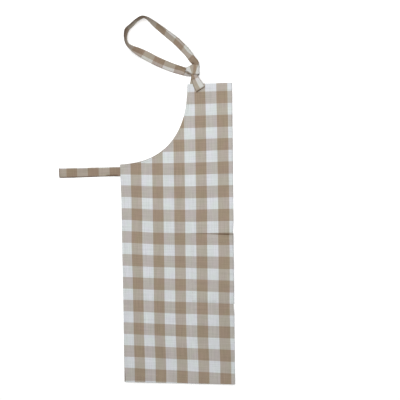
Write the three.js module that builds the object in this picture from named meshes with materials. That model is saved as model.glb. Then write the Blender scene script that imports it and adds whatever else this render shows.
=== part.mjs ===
// Kitchen apron in gingham cloth, folded in half along its middle line and lying flat.
// Units are millimetres. X runs across the apron, Y from hem to bib, Z up from the table.
// While it is built, x = 0 is the fold and y = 0 is the hem at the fold.
import * as THREE from "three";

// Cloth
const cloth = 1.0; // one layer of the body or the pocket
const hemTurn = 0.5; // what a turned hem adds to that layer
const layerGap = 1.8; // air between the two halves
const clearance = 0.3; // between pieces that touch
const foldReach = 3; // from the fold back to where the halves lie flat
const foldTuck = 2; // how far the body's fold draws back inside the pocket

// Body
const bodyLength = 835.7; // hem to bib top, along the fold
const hemDrop = 11; // how far the hem dips at its outer corner
const skirtHalfWidth = 322.5;
const waistFlare = 1; // the waist corner, drawn out by the ties
const bibHalfWidth = 124;
const armholeDepth = 219.2; // bib top down to the waist corner
const sideHem = 10;
const bottomHem = 22;
const bibHem = 22;

// The armhole's curve leaves the bib straight down and meets the waist level
const armholeHandles = { down: 0.653, inward: 0.007, across: 0.619, up: 0.01 };

// Pocket, centred on the fold
const pocketHalfWidth = 120;
const pocketDepth = 194;
const pocketDrop = 412.5; // bib top to pocket mouth
const pocketHem = 24;
const mouthGape = 3; // how far the mouth stands open beside the fold
const pocketSlack = 0.8; // how loosely the pocket goes round the body's fold

// Ties and neck strap
const strapThickness = 1.6;
const tieWidth = 26;
const tieLength = 189; // what shows beside the body
const tieDrop = 7; // waist corner to the tie's upper edge
const tieDip = 2; // how far the tie's free end lies below its seam
const tieStep = 2; // how far the lower tie shows below the upper one
const strapWidth = 25;
const seamOverlap = 20; // how deep a tie or strap is sewn in between the halves
const strapInset = 7; // bib corner to the strap's outer edge
const knotRise = 36; // bib top to the knot's middle
const knotShift = 1.9; // how far the knot leans in from the strap's seam
const loopReach = 195.5; // knot to the loop's far end
const loopRise = 150; // knot to the loop's top
const knotPitch = 2.4; // from one layer of strap to the next inside the knot

// How finely the cloth is divided
const skirtRows = 20;
const armholeRows = 14;
const panelColumns = 11;
const foldSteps = 6;
const pocketRows = 9;
const pocketColumns = 6;
const stepsPerRow = 3;

// Places worked out from the sizes
const waistY = bodyLength - armholeDepth;
const waistX = -(skirtHalfWidth + waistFlare);
const pocketTop = bodyLength - pocketDrop;
const pocketBottom = pocketTop - pocketDepth;
const strapSeamX = -bibHalfWidth + strapInset + strapWidth / 2;
const tieY = waistY - tieDrop - tieWidth / 2;
const knot = new THREE.Vector2(strapSeamX + knotShift, bodyLength + knotRise);
// In a seam, two straps are stacked on the lower half's turned hem, under the upper half
const seamFloor = cloth + hemTurn + clearance;
const seamPitch = strapThickness + clearance;
const seamBump = seamFloor + 2 * seamPitch - (cloth + layerGap);

// Soft rises in the upper half, as shares of the skirt's half width and the body's length
const waves = [
  { height: 0.45, across: 0.9, up: 0.35, turn: 0.1, start: 0.2 },
  { height: 0.35, across: 1.6, up: 0.5, turn: 0.7, start: 0.55 },
  { height: 0.3, across: 0.7, up: 0.27, turn: -0.4, start: 0.8 },
];

// 1 inside a box with a margin round it, falling softly to 0 over the ramp
function plateau(x, y, box, margin, ramp) {
  const outX = Math.max(box.left - margin - x, x - box.right - margin, 0);
  const outY = Math.max(box.low - margin - y, y - box.high - margin, 0);
  return 1 - THREE.MathUtils.smoothstep(Math.hypot(outX, outY), 0, ramp);
}

const pocketArea = { left: -pocketHalfWidth, right: 0, low: pocketBottom, high: pocketTop };
const strapSeam = {
  left: strapSeamX - strapWidth / 2,
  right: strapSeamX + strapWidth / 2,
  low: bodyLength - seamOverlap,
  high: bodyLength,
};
const tieSeam = {
  left: waistX,
  right: -skirtHalfWidth + seamOverlap,
  low: tieY - tieStep - tieWidth / 2,
  high: waistY,
};

// The underside of the lower half: on the table, but raised over the pocket's lower half
function bodyUnderside(x, y) {
  return (cloth + hemTurn + clearance) * plateau(x, y, pocketArea, 32, 45);
}

// The underside of the upper half, with its soft rises and the bumps over the seams
function upperUnderside(x, y) {
  let z = bodyUnderside(x, y) + cloth + layerGap;
  for (const wave of waves) {
    const along = x / (wave.across * skirtHalfWidth) + y / (wave.up * bodyLength);
    const turned = along + (wave.turn * x) / skirtHalfWidth + wave.start;
    z += (wave.height * (1 + Math.sin(2 * Math.PI * turned))) / 2;
  }
  z += seamBump * plateau(x, y, strapSeam, 12, 35);
  z += seamBump * plateau(x, y, tieSeam, 20, 45);
  return z;
}

function bodyTop(x, y) {
  return upperUnderside(x, y) + cloth;
}

// A closed skin over rings of points: each ring goes out along one face and back along the other
function skin(rings) {
  const count = rings[0].length;
  const half = count / 2;
  const faces = [];
  const quad = (a, b, c, d) => faces.push(a, b, c, a, c, d);
  for (let i = 0; i + 1 < rings.length; i += 1) {
    for (let k = 0; k < count; k += 1) {
      const next = (k + 1) % count;
      quad(i * count + k, i * count + next, (i + 1) * count + next, (i + 1) * count + k);
    }
  }
  const last = (rings.length - 1) * count;
  for (let k = 0; k + 1 < half; k += 1) {
    quad(k, count - 1 - k, count - 2 - k, k + 1);
    quad(last + k, last + k + 1, last + count - 2 - k, last + count - 1 - k);
  }
  const geometry = new THREE.BufferGeometry();
  const places = rings.flat().flatMap((point) => point.toArray());
  geometry.setAttribute("position", new THREE.Float32BufferAttribute(places, 3));
  geometry.setIndex(faces);
  geometry.computeVertexNormals();
  return geometry;
}

// A cloth folded at x = 0. Each row runs from the fold to the outer edge of both halves, and
// faces(x, y, inHem) gives the four heights there, from the lowest face up,
// and foldOut(y) says how far the fold stands out.
function foldedCloth(rows, columns, foldOut, thickness, faces) {
  return skin(
    rows.map((row) => {
      const flat = [];
      for (let k = 0; k <= columns; k += 1) {
        const share = k / columns;
        const x = THREE.MathUtils.lerp(-foldReach, row.inner.x, share);
        const y = THREE.MathUtils.lerp(row.foldY, row.inner.y, share);
        flat.push({ x, y, inHem: row.inHem });
      }
      flat.push({ x: row.inner.x, y: row.inner.y, inHem: true });
      flat.push({ x: row.edge.x, y: row.edge.y, inHem: true });
      const heights = flat.map((place) => faces(place.x, place.y, place.inHem));
      const face = (index) => flat.map((p, k) => new THREE.Vector3(p.x, p.y, heights[k][index]));
      const bend = (low, high, reach) => {
        const middle = (low.z + high.z) / 2;
        const radius = (high.z - low.z) / 2;
        const points = [];
        for (let k = 1; k < foldSteps; k += 1) {
          const angle = Math.PI / 2 - (Math.PI * k) / foldSteps;
          const x = -foldReach + reach * Math.cos(angle);
          points.push(new THREE.Vector3(x, low.y, middle + radius * Math.sin(angle)));
        }
        return points;
      };
      const [lowest, lowerTop, upperBottom, highest] = [0, 1, 2, 3].map(face);
      const outer = foldReach + foldOut(row.foldY);
      return [
        ...highest.toReversed(),
        ...bend(lowest[0], highest[0], outer),
        ...lowest,
        ...lowerTop.toReversed(),
        ...bend(lowerTop[0], upperBottom[0], outer - thickness).toReversed(),
        ...upperBottom,
      ];
    }),
  );
}

// The body's rows, from the hem up the side, round the armhole and up to the bib top
function bodyRows() {
  const corner = new THREE.Vector2(waistX, waistY);
  const bibCorner = new THREE.Vector2(-bibHalfWidth, bodyLength);
  const width = bibCorner.x - corner.x;
  const armhole = new THREE.CubicBezierCurve(
    corner,
    new THREE.Vector2(
      corner.x + armholeHandles.across * width,
      corner.y + armholeHandles.up * armholeDepth,
    ),
    new THREE.Vector2(
      bibCorner.x - armholeHandles.inward * width,
      bibCorner.y - armholeHandles.down * armholeDepth,
    ),
    bibCorner,
  );
  const hemTop = bottomHem - hemDrop;
  const rows = [
    sideRow(0, -hemDrop, true),
    sideRow(bottomHem, hemTop, true),
    sideRow(bottomHem, hemTop, false),
  ];
  for (let k = 1; k < skirtRows; k += 1) {
    const share = k / skirtRows;
    const foldY = THREE.MathUtils.lerp(bottomHem, waistY, share);
    rows.push(sideRow(foldY, THREE.MathUtils.lerp(hemTop, waistY, share), false));
  }
  const bibRowY = bodyLength - bibHem;
  for (let k = 0; k <= armholeRows; k += 1) {
    const share = k / armholeRows;
    const place = armhole.getPointAt(share * (1 - bibHem / armhole.getLength()));
    const tangent = armhole.getTangentAt(share * (1 - bibHem / armhole.getLength()));
    const inward = new THREE.Vector2(tangent.y, -tangent.x);
    if (k === 0) inward.set(1, -0.5);
    rows.push({
      foldY: THREE.MathUtils.lerp(waistY, bibRowY, share),
      edge: place,
      inner: place.clone().addScaledVector(inward, sideHem),
      inHem: false,
    });
  }
  const seam = { ...rows.at(-1), inHem: true };
  rows.push(seam);
  rows.push({
    foldY: bodyLength,
    edge: bibCorner,
    inner: new THREE.Vector2(bibCorner.x + sideHem, bodyLength),
    inHem: true,
  });
  return rows;
}

// A straight row of the skirt; its outer edge widens a little up to the waist corner
function sideRow(foldY, edgeY, inHem) {
  const flare = waistFlare * THREE.MathUtils.smoothstep(edgeY, waistY - 3 * tieWidth, waistY);
  const x = -(skirtHalfWidth + flare);
  return {
    foldY,
    edge: new THREE.Vector2(x, edgeY),
    inner: new THREE.Vector2(x + sideHem, edgeY),
    inHem,
  };
}

// Inside the pocket the body's fold draws back, so that the pocket's own fold is flush with it
function bodyFoldOut(y) {
  return -foldTuck * plateau(0, y, pocketArea, 4, 30);
}

function apronBody() {
  return foldedCloth(bodyRows(), panelColumns, bodyFoldOut, cloth, (x, y, inHem) => {
    const turned = inHem ? hemTurn : 0;
    const low = bodyUnderside(x, y);
    return [low, low + cloth + turned, upperUnderside(x, y), bodyTop(x, y) + turned];
  });
}

// The pocket wraps the fold: half of it lies on the apron and half of it under the apron
function pocket() {
  const mouthLow = pocketTop - pocketHem;
  const rows = [];
  const addRow = (y, inHem) => {
    const edge = new THREE.Vector2(-pocketHalfWidth, y);
    const inner = new THREE.Vector2(-pocketHalfWidth + sideHem, y);
    rows.push({ foldY: y, edge, inner, inHem });
  };
  for (let k = 0; k <= pocketRows; k += 1) {
    addRow(THREE.MathUtils.lerp(pocketBottom, mouthLow, k / pocketRows), false);
  }
  addRow(mouthLow, true);
  addRow(pocketTop, true);
  const foldOut = () => cloth + pocketSlack - foldTuck;
  return foldedCloth(rows, pocketColumns, foldOut, cloth, (x, y, inHem) => {
    const nearMouth = THREE.MathUtils.smoothstep(y, pocketTop - 3 * pocketHem, pocketTop);
    const nearFold = 1 - THREE.MathUtils.smoothstep(-x, 0, pocketHalfWidth * 0.8);
    const inTop = y >= mouthLow && inHem ? hemTurn : 0;
    const onBody = bodyTop(x, y) + clearance + mouthGape * nearMouth * nearFold;
    return [0, cloth + inTop, onBody, onBody + cloth + inTop];
  });
}

// A value between two rows of a table, on a smooth curve through all of them
function between(rows, column, place) {
  const index = Math.min(Math.floor(place), rows.length - 2);
  const t = place - index;
  const value = (k) => rows[THREE.MathUtils.clamp(k, 0, rows.length - 1)][column];
  const [a, b, c, d] = [value(index - 1), value(index), value(index + 1), value(index + 2)];
  const slopeB = (c - a) / 2;
  const slopeC = (d - b) / 2;
  const lift = 3 * (c - b) - 2 * slopeB - slopeC;
  const curl = slopeB + slopeC - 2 * (c - b);
  return b + t * (slopeB + t * (lift + t * curl));
}

// A strap swept through its rows. across is the compass angle of the line over its width, and
// lean is how far that line stands up from the table, both in degrees.
function strap(rows) {
  const steps = (rows.length - 1) * stepsPerRow;
  const at = (place) =>
    new THREE.Vector3(...["x", "y", "z"].map((column) => between(rows, column, place)));
  const rings = [];
  for (let k = 0; k <= steps; k += 1) {
    const place = k / stepsPerRow;
    const middle = at(place);
    const ahead = at(Math.min(place + 0.01, rows.length - 1));
    const forward = ahead.sub(at(Math.max(place - 0.01, 0))).normalize();
    const across = THREE.MathUtils.degToRad(between(rows, "across", place));
    const lean = THREE.MathUtils.degToRad(between(rows, "lean", place));
    const side = new THREE.Vector3(Math.cos(across), Math.sin(across), 0);
    side.multiplyScalar(Math.cos(lean)).setZ(Math.sin(lean));
    side.addScaledVector(forward, -side.dot(forward)).normalize();
    const normal = new THREE.Vector3().crossVectors(forward, side);
    side.multiplyScalar(between(rows, "width", place) / 2);
    normal.multiplyScalar(between(rows, "thick", place) / 2);
    // No corner dips below the surface that the apron lies on
    const dip = Math.abs(side.z) + Math.abs(normal.z);
    middle.z = Math.max(middle.z, dip);
    rings.push([
      middle.clone().add(side).add(normal),
      middle.clone().sub(side).add(normal),
      middle.clone().sub(side).sub(normal),
      middle.clone().add(side).sub(normal),
    ]);
  }
  return skin(rings);
}

// The height of a strap's middle line where its lower edge rests on the table
function restingHeight(width, lean) {
  const angle = THREE.MathUtils.degToRad(lean);
  return (width * Math.sin(angle) + strapThickness * Math.cos(angle)) / 2 + clearance;
}

// From the rear bib corner up behind the knot. up is a share of the knot's rise from the bib top,
// and width and thick are shares of the strap's own.
const rearRise = [
  { up: 0, layer: 0, width: 1, thick: 1 },
  { up: 0.33, layer: 0.3, width: 0.9, thick: 1.1 },
  { up: 0.64, layer: 0.85, width: 0.78, thick: 1.15 },
  { up: 1, layer: 1, width: 0.72, thick: 1.2 },
  { up: 1.36, layer: 1.1, width: 0.74, thick: 1.2 },
];

// From the front bib corner up into the knot, over the rear strap
const frontRise = [
  { up: 0, layer: 1, width: 1, thick: 1 },
  { up: 0.31, layer: 1.25, width: 0.9, thick: 1.05 },
  { up: 0.62, layer: 1.9, width: 0.76, thick: 1.1 },
  { up: 0.92, layer: 2, width: 0.7, thick: 1.1 },
  { up: 1.22, layer: 2, width: 0.64, thick: 1.05 },
];

// Round the loop, from the knot's top to its left side, as shares of the loop's reach and rise
const loop = [
  { x: 0.006, y: 0.143, across: 10, lean: 16, width: 0.84 },
  { x: -0.04, y: 0.218, across: 36, lean: 28, width: 0.94 },
  { x: -0.1, y: 0.331, across: 44, lean: 30, width: 1 },
  { x: -0.185, y: 0.449, across: 46, lean: 30, width: 1 },
  { x: -0.272, y: 0.562, across: 48, lean: 32, width: 1 },
  { x: -0.376, y: 0.672, across: 49, lean: 38, width: 1 },
  { x: -0.482, y: 0.784, across: 49, lean: 45, width: 1 },
  { x: -0.586, y: 0.894, across: 54, lean: 54, width: 1 },
  { x: -0.664, y: 0.978, across: 68, lean: 70, width: 1 },
  { x: -0.74, y: 1.02, across: 93, lean: 85, width: 1 },
  { x: -0.827, y: 0.972, across: 120, lean: 88, width: 1 },
  { x: -0.914, y: 0.88, across: 133, lean: 84, width: 1 },
  { x: -0.979, y: 0.806, across: 148, lean: 81, width: 1 },
  { x: -1.002, y: 0.715, across: 174, lean: 86, width: 1 },
  { x: -1, y: 0.622, across: 190, lean: 88, width: 1 },
  { x: -0.972, y: 0.535, across: 214, lean: 78, width: 1 },
  { x: -0.9, y: 0.456, across: 232, lean: 52, width: 1 },
  { x: -0.805, y: 0.384, across: 239, lean: 28, width: 1 },
  { x: -0.7, y: 0.309, across: 241, lean: 12, width: 1 },
  { x: -0.58, y: 0.221, across: 242, lean: 6, width: 1 },
  { x: -0.45, y: 0.14, across: 244, lean: 3, width: 1 },
  { x: -0.32, y: 0.069, across: 248, lean: 0, width: 0.98 },
  { x: -0.2, y: 0.016, across: 253, lean: 0, width: 0.94 },
];

// Behind the knot, round its right side, back over the front, folded under itself and down in
// front of the bib. x, y and width are shares of the strap's width from the knot's middle.
const wrap = [
  { x: -0.87, y: -0.12, layer: 0.25, width: 0.9, across: 260 },
  { x: -0.36, y: -0.12, layer: 0, width: 0.9, across: 268 },
  { x: 0.09, y: -0.08, layer: 0, width: 0.92, across: 270 },
  { x: 0.34, y: -0.02, layer: 0.35, width: 0.94, across: 270 },
  { x: 0.44, y: 0.02, layer: 1.4, width: 0.98, across: 270 },
  { x: 0.46, y: 0.07, layer: 2.6, width: 1.02, across: 270 },
  { x: 0.38, y: 0.1, layer: 3.75, width: 1.1, across: 270 },
  { x: 0.14, y: 0.12, layer: 4.05, width: 1.14, across: 270 },
  { x: -0.14, y: 0.14, layer: 4.02, width: 1.1, across: 270 },
  { x: -0.42, y: 0.16, layer: 4.05, width: 0.92, across: 268 },
  { x: -0.7, y: 0.18, layer: 4, width: 0.6, across: 266 },
  { x: -0.96, y: 0.18, layer: 3.85, width: 0.46, across: 264 },
  { x: -1.02, y: 0.14, layer: 3.4, width: 0.46, across: 256 },
  { x: -0.78, y: 0.06, layer: 3, width: 0.5, across: 248 },
  { x: -0.42, y: -0.08, layer: 3, width: 0.56, across: 236 },
  { x: -0.14, y: -0.36, layer: 3, width: 0.64, across: 210 },
  { x: -0.02, y: -0.68, layer: 3, width: 0.74, across: 194 },
  { x: 0.08, y: -1.02, layer: 2.95, width: 0.9, across: 196 },
  { x: 0.24, y: -1.43, layer: 3.35, width: 1.06, across: 202 },
  { x: 0.42, y: -1.82, layer: 3.6, width: 1.12, across: 206 },
  { x: 0.55, y: -2.08, layer: 3.7, width: 1.12, across: 208 },
];

// A strap's rows from its seam, where it lies in the stack, up into the knot's layers
function risingRows(table, seamLayer) {
  const inSeam = seamFloor + strapThickness / 2 + seamPitch * seamLayer;
  const flat = { x: strapSeamX, z: inSeam, across: 0, lean: 0 };
  const sewn = { ...flat, y: bodyLength - seamOverlap, width: strapWidth, thick: strapThickness };
  const rising = table.map((row) => {
    const inKnot = knotPitch * (row.layer + 0.5);
    const share = THREE.MathUtils.smoothstep(row.up, 0, 0.64);
    return {
      ...flat,
      x: strapSeamX + knotShift * Math.min(row.up, 1),
      y: bodyLength + knotRise * row.up,
      z: THREE.MathUtils.lerp(inSeam, inKnot, share),
      width: row.width * strapWidth,
      thick: row.thick * strapThickness,
    };
  });
  return [sewn, ...rising];
}

function neckStrap() {
  const rows = risingRows(rearRise, 0);
  for (const row of loop) {
    const width = row.width * strapWidth;
    rows.push({
      x: knot.x + row.x * loopReach,
      y: knot.y + row.y * loopRise,
      z: restingHeight(width, row.lean),
      across: row.across,
      lean: row.lean,
      width,
      thick: strapThickness,
    });
  }
  for (const row of wrap) {
    rows.push({
      x: knot.x + row.x * strapWidth,
      y: knot.y + row.y * strapWidth,
      z: knotPitch * (row.layer + 0.5),
      across: row.across,
      lean: 0,
      width: row.width * strapWidth,
      thick: strapThickness,
    });
  }
  return strap(rows);
}

function neckStrapShort() {
  return strap(risingRows(frontRise, 1));
}

// A waist tie, sewn in between the halves and lying out beside the body
function waistTie(seamLayer, drop) {
  const seamZ = seamFloor + strapThickness / 2 + seamPitch * seamLayer;
  const tableZ = strapThickness / 2 + seamPitch * seamLayer;
  const rise = [
    { out: -seamOverlap, share: 1 },
    { out: 0, share: 1 },
    { out: waistFlare + clearance, share: 0.97 },
    { out: 18, share: 0.45 },
    { out: 36, share: 0 },
    { out: tieLength * 0.5, share: 0 },
    { out: tieLength * 0.8, share: 0 },
    { out: tieLength, share: 0 },
  ];
  return strap(
    rise.map((row) => ({
      x: -skirtHalfWidth - row.out,
      y: tieY - (tieDip + drop) * THREE.MathUtils.smoothstep(row.out, 0, tieLength),
      z: THREE.MathUtils.lerp(tableZ, seamZ, row.share),
      across: 90,
      lean: 0,
      width: tieWidth,
      thick: strapThickness,
    })),
  );
}

const gingham = { color: 0xb3a899, roughness: 0.92, metalness: 0 };
const strapCloth = { color: 0x9c8f7f, roughness: 0.92, metalness: 0 };

function piece(name, geometry, look) {
  const mesh = new THREE.Mesh(geometry, new THREE.MeshStandardMaterial(look));
  mesh.name = name;
  return mesh;
}

const apron = new THREE.Group();
apron.add(
  piece("apron_body", apronBody(), gingham),
  piece("pocket", pocket(), gingham),
  piece("neck_strap", neckStrap(), strapCloth),
  piece("neck_strap_short", neckStrapShort(), strapCloth),
  piece("waist_tie_upper", waistTie(1, 0), strapCloth),
  piece("waist_tie_lower", waistTie(0, tieStep), strapCloth),
);

// The origin is under the middle of the whole outline, on the table
const outline = new THREE.Box3().setFromObject(apron);
const middle = outline.getCenter(new THREE.Vector3());
apron.position.set(-middle.x, -middle.y, -outline.min.z);
apron.updateMatrixWorld(true);

export default apron;
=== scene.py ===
import math

import bpy
import numpy as np
from mathutils import Matrix, Vector


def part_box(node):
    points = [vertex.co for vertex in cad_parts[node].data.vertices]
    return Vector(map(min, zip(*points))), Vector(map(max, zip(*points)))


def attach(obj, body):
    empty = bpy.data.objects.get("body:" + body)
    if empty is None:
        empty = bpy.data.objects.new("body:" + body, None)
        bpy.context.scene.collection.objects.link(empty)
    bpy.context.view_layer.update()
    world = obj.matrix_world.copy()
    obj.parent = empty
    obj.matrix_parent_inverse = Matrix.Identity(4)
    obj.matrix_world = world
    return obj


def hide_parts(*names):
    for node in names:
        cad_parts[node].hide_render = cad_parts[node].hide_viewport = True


# Kitchen apron in gingham cotton, folded in half and lying flat, seen from above.
# Shapes are worked out in millimetres, x from the fold and y from the hem at the fold, z up from
# the table, and one function takes them to the frame, in metres.

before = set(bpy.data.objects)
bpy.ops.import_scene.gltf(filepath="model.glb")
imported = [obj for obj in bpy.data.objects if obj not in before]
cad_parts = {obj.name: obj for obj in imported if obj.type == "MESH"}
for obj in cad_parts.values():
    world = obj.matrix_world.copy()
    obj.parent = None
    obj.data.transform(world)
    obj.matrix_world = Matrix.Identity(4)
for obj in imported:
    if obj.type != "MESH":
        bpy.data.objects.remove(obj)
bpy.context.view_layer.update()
MM = 0.001

# Body, as it was cut and hemmed
BODY_LENGTH = 835.7
HEM_DROP = 11
SKIRT_HALF_WIDTH = 322.5
WAIST_FLARE = 1
BIB_HALF_WIDTH = 124
ARMHOLE_DEPTH = 219.2
ARMHOLE_DOWN, ARMHOLE_INWARD = 0.653, 0.007
ARMHOLE_ACROSS, ARMHOLE_UP = 0.619, 0.01
SIDE_HEM = 10
ARMHOLE_HEM = 7
BOTTOM_HEM = 22
BIB_HEM = 22

# Cloth, and what a turned hem adds to it: the turned layers and how softly they end inside and
# outside the hem's width, how deep and how wide its edge rolls down, and how deep and how wide its
# stitches dent it, and how far inside its width
CLOTH = 0.5
HEM_TURN = 0.5
HEM_END_INSIDE, HEM_END_OUTSIDE = 0.8, 1.6
EDGE_ROLL, ROLL_WIDTH = 0.35, 1.4
SEAM_DENT, DENT_WIDTH = 0.3, 0.9
SEAM_INSIDE = 2
LAYER_GAP = 1.8
FLOOR_CLOTH = 1.0
CLEARANCE = 0.3
FOLD_REACH = 3
FOLD_TUCK = 2

# How far the lower half shows beyond the upper one: everywhere, more near the hem's corner, and
# more in the armhole
PEEK = 0.3
CORNER_PEEK = 1.1
ARMHOLE_PEEK = 0.36

# Pocket
POCKET_HALF_WIDTH = 120
POCKET_DEPTH = 194
POCKET_DROP = 412.5
POCKET_HEM = 24
MOUTH_GAPE = 3.4
POCKET_SLACK = 0.8
POCKET_FLOOR = 0.1
PRESSED_EDGE = 0.15
PRESSED_BAND = (-1, 14)

# Ties and neck strap
STRAP_THICKNESS = 1.6
TIE_WIDTH = 26
TIE_LENGTH = 189
TIE_DROP = 7
TIE_DIP = 2
TIE_STEP = 2
TIE_ROLL = -6.5
TIE_START, SHORT_START = 43, 20
STRAP_WIDTH = 25
SEAM_OVERLAP = 20
STRAP_INSET = 7
KNOT_RISE = 36
KNOT_SHIFT = 1.9
LOOP_REACH = 195.5
LOOP_RISE = 150
KNOT_PITCH = 2.4

# The gingham's stripes: the cloth's first tan stripe starts this far left of the fold, and its
# first tan row this far above the hem
WARP_PERIOD = 62.8
WARP_TAN = 31.2
WEFT_PERIOD = 65.44
WEFT_TAN = 33.5
FIRST_STRIPE = 292.6
FIRST_ROW = 620.4
STRAP_CHECK = 33

# Camera: where it stands from the fold and the hem, and how it is turned
CAMERA_PLACE = (330.7, 621.0, 1899.4)
CAMERA_TILT = 3.2298
CAMERA_TURN = 12.5447
CAMERA_LENS = 63
CAMERA_SENSOR = 36
PHOTO_WIDTH = 400

# Floor and light, in metres, watts and shares of full light
FLOOR_HALF = 4.0
FLOOR_TONE = 0.96
WORLD_LIGHT = 0.32
SOFTBOX_SIZE = 2.6
SOFTBOX_POWER = 65
SOFTBOX_PLACE = (0.05, 0.6, 1.9)

WAIST_Y = BODY_LENGTH - ARMHOLE_DEPTH
WAIST_X = -(SKIRT_HALF_WIDTH + WAIST_FLARE)
POCKET_TOP = BODY_LENGTH - POCKET_DROP
POCKET_BOTTOM = POCKET_TOP - POCKET_DEPTH
STRAP_SEAM_X = -BIB_HALF_WIDTH + STRAP_INSET + STRAP_WIDTH / 2
TIE_Y = WAIST_Y - TIE_DROP - TIE_WIDTH / 2
KNOT_X = STRAP_SEAM_X + KNOT_SHIFT
KNOT_Y = BODY_LENGTH + KNOT_RISE
SEAM_FLOOR = FLOOR_CLOTH + HEM_TURN + CLEARANCE
SEAM_PITCH = STRAP_THICKNESS + CLEARANCE
SEAM_BUMP = SEAM_FLOOR + 2 * SEAM_PITCH - (FLOOR_CLOTH + LAYER_GAP)

body_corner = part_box("apron_body")[1]
FRAME_START = np.array([body_corner.x, body_corner.y - BODY_LENGTH * MM, 0.0])


def to_frame(points):
    """Millimetres from the fold and the hem, as metres in the frame."""
    return np.asarray(points, float) * MM + FRAME_START


def placed(name, data):
    """A new object with this data, in the scene."""
    thing = bpy.data.objects.new(name, data)
    bpy.context.collection.objects.link(thing)
    return thing


# Camera

camera = placed("camera", bpy.data.cameras.new("camera"))
camera.data.lens = CAMERA_LENS
camera.data.sensor_width = CAMERA_SENSOR
camera.data.sensor_fit = "HORIZONTAL"
camera.data.shift_x = -0.5 / PHOTO_WIDTH
camera.data.shift_y = 0.5 / PHOTO_WIDTH
tilted = Matrix.Rotation(math.radians(-CAMERA_TILT), 4, "X")
turned = Matrix.Rotation(math.radians(CAMERA_TURN), 4, "Y")
camera.matrix_world = Matrix.Translation(Vector(to_frame(CAMERA_PLACE))) @ tilted @ turned
bpy.context.scene.camera = camera


# Shapes in common

def smooth(value, start, end):
    """0 before start, 1 after end, with a soft ramp between them."""
    share = np.clip((np.asarray(value, float) - start) / (end - start), 0, 1)
    return share * share * (3 - 2 * share)


def plateau(x, y, box, margin, ramp):
    """1 inside a box with a margin round it, falling softly to 0 over the ramp."""
    left, right, low, high = box
    out_x = np.maximum(np.maximum(left - margin - x, x - right - margin), 0)
    out_y = np.maximum(np.maximum(low - margin - y, y - high - margin), 0)
    return 1 - smooth(np.hypot(out_x, out_y), 0, ramp)


POCKET_AREA = (-POCKET_HALF_WIDTH, 0, POCKET_BOTTOM, POCKET_TOP)
STRAP_SEAM = (
    STRAP_SEAM_X - STRAP_WIDTH / 2,
    STRAP_SEAM_X + STRAP_WIDTH / 2,
    BODY_LENGTH - SEAM_OVERLAP,
    BODY_LENGTH,
)
TIE_SEAM = (
    WAIST_X,
    -SKIRT_HALF_WIDTH + SEAM_OVERLAP,
    TIE_Y - TIE_STEP - TIE_WIDTH / 2,
    WAIST_Y,
)

# How far the cloth's rise over the pocket, over the straps' seam and over the ties' seam reaches
# past each of them, and over what width it then falls
POCKET_RISE = (32, 45)
STRAP_SEAM_RISE = (12, 35)
TIE_SEAM_RISE = (20, 45)

# Soft rises in the upper half: height, across and up as shares of the half width and the
# length, turn, and where the wave starts
WAVES = [
    (0.45, 0.9, 0.35, 0.1, 0.2),
    (0.35, 1.6, 0.5, 0.7, 0.55),
    (0.3, 0.7, 0.27, -0.4, 0.8),
]


def lower_face(x, y):
    """The underside of the lower half: on the table, but raised over the pocket's lower half."""
    return SEAM_FLOOR * plateau(x, y, POCKET_AREA, *POCKET_RISE)


def upper_face(x, y):
    """The top of the upper half, with its soft rises and the bumps over the seams."""
    z = lower_face(x, y) + 2 * FLOOR_CLOTH + LAYER_GAP
    for height, across, up, turn, start in WAVES:
        along = x / (across * SKIRT_HALF_WIDTH) + y / (up * BODY_LENGTH)
        along = along + turn * x / SKIRT_HALF_WIDTH + start
        z = z + height * (1 + np.sin(2 * math.pi * along)) / 2
    z = z + SEAM_BUMP * plateau(x, y, STRAP_SEAM, *STRAP_SEAM_RISE)
    return z + SEAM_BUMP * plateau(x, y, TIE_SEAM, *TIE_SEAM_RISE)


def turned_hem(distance, width):
    """What a turned hem adds to the cloth's height, a distance in from the edge: the turned
    layers, the rolled edge, and the dent of the stitches."""
    layers = HEM_TURN * (1 - smooth(distance, width - HEM_END_INSIDE, width + HEM_END_OUTSIDE))
    roll = EDGE_ROLL * (1 - smooth(distance, 0, ROLL_WIDTH))
    dent = SEAM_DENT * np.exp(-(((distance - width + SEAM_INSIDE) / DENT_WIDTH) ** 2))
    return layers - roll - dent


def skin_faces(rings, count):
    """Faces of a closed skin over rings that go out along one face and back along the other."""
    half = count // 2
    faces = []
    for i in range(rings - 1):
        for k in range(count):
            a, b = i * count + k, i * count + (k + 1) % count
            faces.append((a, b, b + count, a + count))
    last = (rings - 1) * count
    for k in range(half - 1):
        faces.append((k, count - 1 - k, count - 2 - k, k + 1))
        faces.append((last + k, last + k + 1, last + count - 2 - k, last + count - 1 - k))
    return faces


def new_piece(name, rings, cloth, shade, material):
    """A closed skin over rings, placed in the frame. Its point attributes are the cloth's own
    coordinates and the painted shade, from 0 to 1, that stands in for the shade in its creases and
    along its turned edges."""
    mesh = bpy.data.meshes.new(name)
    places = to_frame(rings.reshape(-1, 3)).tolist()
    mesh.from_pydata(places, [], skin_faces(len(rings), rings.shape[1]))
    cloth_places = mesh.attributes.new("cloth", "FLOAT_VECTOR", "POINT")
    cloth_places.data.foreach_set("vector", (cloth * MM).ravel())
    shades = mesh.attributes.new("shade", "FLOAT", "POINT")
    shades.data.foreach_set("value", shade.ravel())
    mesh.polygons.foreach_set("use_smooth", [True] * len(mesh.polygons))
    mesh.materials.append(material)
    mesh.update()
    return placed(name, mesh)


# Materials

# Colours of the cloth as gingham takes them, of the dye's slow changes, of a full painted shade,
# and of the thread
BODY_TONES = ("#bcc0c2", "#9c958b", "#a29d98", "#8a7b6a")
STRAP_TONES = ("#b5b5b2", "#968d81", "#9a9188", "#847463")
PINK_LEAN, OLIVE_LEAN = "#fffcff", "#fcfefa"
PAINTED_SHADE_TONE = "#8a6e52"
THREAD_TONES = ("#9d9183", "#b3a899")

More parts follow.
